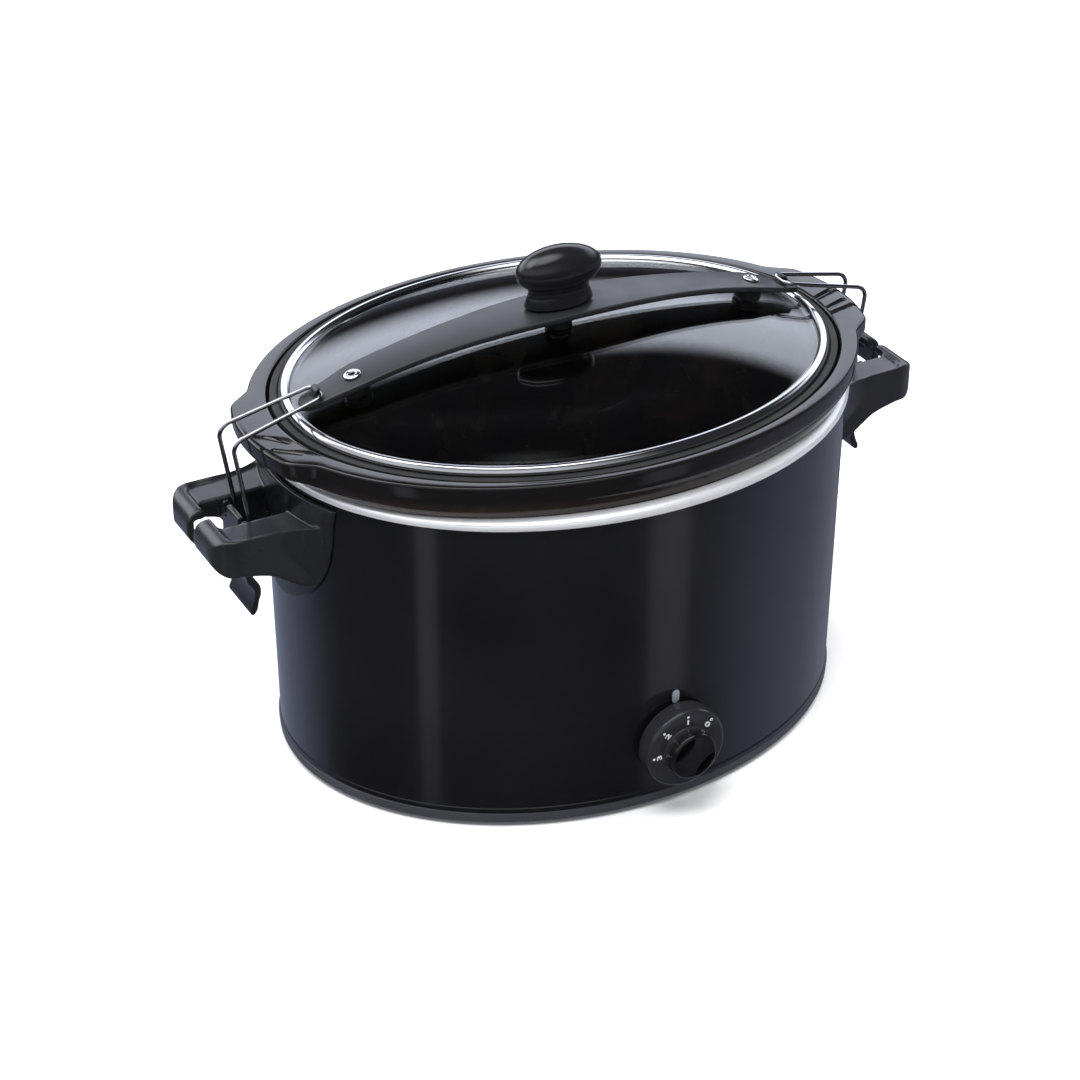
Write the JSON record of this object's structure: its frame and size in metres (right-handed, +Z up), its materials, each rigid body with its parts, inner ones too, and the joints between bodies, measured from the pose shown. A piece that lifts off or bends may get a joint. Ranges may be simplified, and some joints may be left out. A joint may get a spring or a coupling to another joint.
{
  "type": "slow cooker",
  "caption": "Oval slow cooker with a black housing, lift-out stoneware crock, glass lid with a strap and knob, wire bail latches over side handles, and a turning dial.",
  "frame": {"origin": "middle of the whole object's footprint box, on the surface it stands on", "axes": "+Z up, +X along the long side of the oval towards the right handle as seen from the dial, -Y is the way the dial faces"},
  "size_m": [0.456, 0.303, 0.2915],
  "materials": {
    "black_paint": "gloss black enamel on steel",
    "grey_plastic": "slate grey moulded plastic",
    "dark_plastic": "satin black heat-proof plastic",
    "gloss_black": "gloss black plastic",
    "satin_black": "satin black plastic",
    "cream_plastic": "cream moulded terminal block",
    "black_rubber": "black silicone rubber",
    "glazed_stoneware": "opaque glossy black glaze on stoneware",
    "lid_glass": "clear tempered glass",
    "aluminium": "spun aluminium",
    "polished_steel": "polished stainless steel",
    "chrome_wire": "bright plated wire",
    "zinc_steel": "zinc plated steel",
    "heater_metal": "heat-tinted steel band"
  },
  "bodies": {
    "base": {"outer_housing": "black_paint", "base_ring": "grey_plastic", "base_pan": "zinc_steel", "heating_liner": "aluminium", "heater_band": "heater_metal", "thermal_fuse": "zinc_steel", "centre_post": "zinc_steel", "base_screw": "zinc_steel", "rotary_switch": "dark_plastic", "switch_nut": "zinc_steel", "cord_gland": "dark_plastic", "terminal_block": "cream_plastic", "foot_1": "black_rubber", "foot_2": "black_rubber", "foot_3": "black_rubber", "foot_4": "black_rubber", "handle_screw_1": "zinc_steel", "handle_screw_2": "zinc_steel", "handle_screw_3": "zinc_steel", "handle_screw_4": "zinc_steel", "left_handle": "dark_plastic", "right_handle": "dark_plastic", "latch_pin_left": "zinc_steel", "latch_pin_right": "zinc_steel"},
    "crock": {"crock": "glazed_stoneware"},
    "lid": {"lid_ring": "polished_steel", "lid_gasket": "black_rubber", "lid_glass": "lid_glass", "lid_strap": "satin_black", "knob_seal": "black_rubber", "knob_screw": "zinc_steel", "knob": "satin_black", "strap_rivet_left": "polished_steel", "strap_rivet_right": "polished_steel", "strap_grommet_left": "black_rubber", "strap_grommet_right": "black_rubber"},
    "dial": {"dial_knob": "gloss_black", "dial_shaft": "zinc_steel"},
    "latch_left": {"latch_lever_left": "dark_plastic"},
    "latch_right": {"latch_lever_right": "dark_plastic"},
    "bail_left": {"bail_left": "chrome_wire"},
    "bail_right": {"bail_right": "chrome_wire"}
  },
  "joints": [
    {"name": "crock_lift", "type": "slide", "parent": "base", "child": "crock", "axis": [0, 0, 1], "range_m": [0, 0.22]},
    {"name": "lid_lift", "type": "slide", "parent": "crock", "child": "lid", "axis": [0, 0, 1], "range_m": [0, 0.15]},
    {"name": "bail_left_swing", "type": "hinge", "parent": "lid", "child": "bail_left", "pos_m": [-0.149, 0.0096, 0.238], "axis": [0, 1, 0], "range_deg": [0, 70]},
    {"name": "bail_right_swing", "type": "hinge", "parent": "lid", "child": "bail_right", "pos_m": [0.149, 0.0096, 0.238], "axis": [0, -1, 0], "range_deg": [0, 70]},
    {"name": "latch_left_turn", "type": "hinge", "parent": "base", "child": "latch_left", "pos_m": [-0.1905, 0.0096, 0.1525], "axis": [0, 1, 0], "range_deg": [0, 40]},
    {"name": "latch_right_turn", "type": "hinge", "parent": "base", "child": "latch_right", "pos_m": [0.1905, 0.0096, 0.1525], "axis": [0, -1, 0], "range_deg": [0, 40]},
    {"name": "dial_turn", "type": "hinge", "parent": "base", "child": "dial", "pos_m": [0, -0.1303, 0.045], "axis": [0, 1, 0], "range_deg": [-45, 90]}
  ]
}
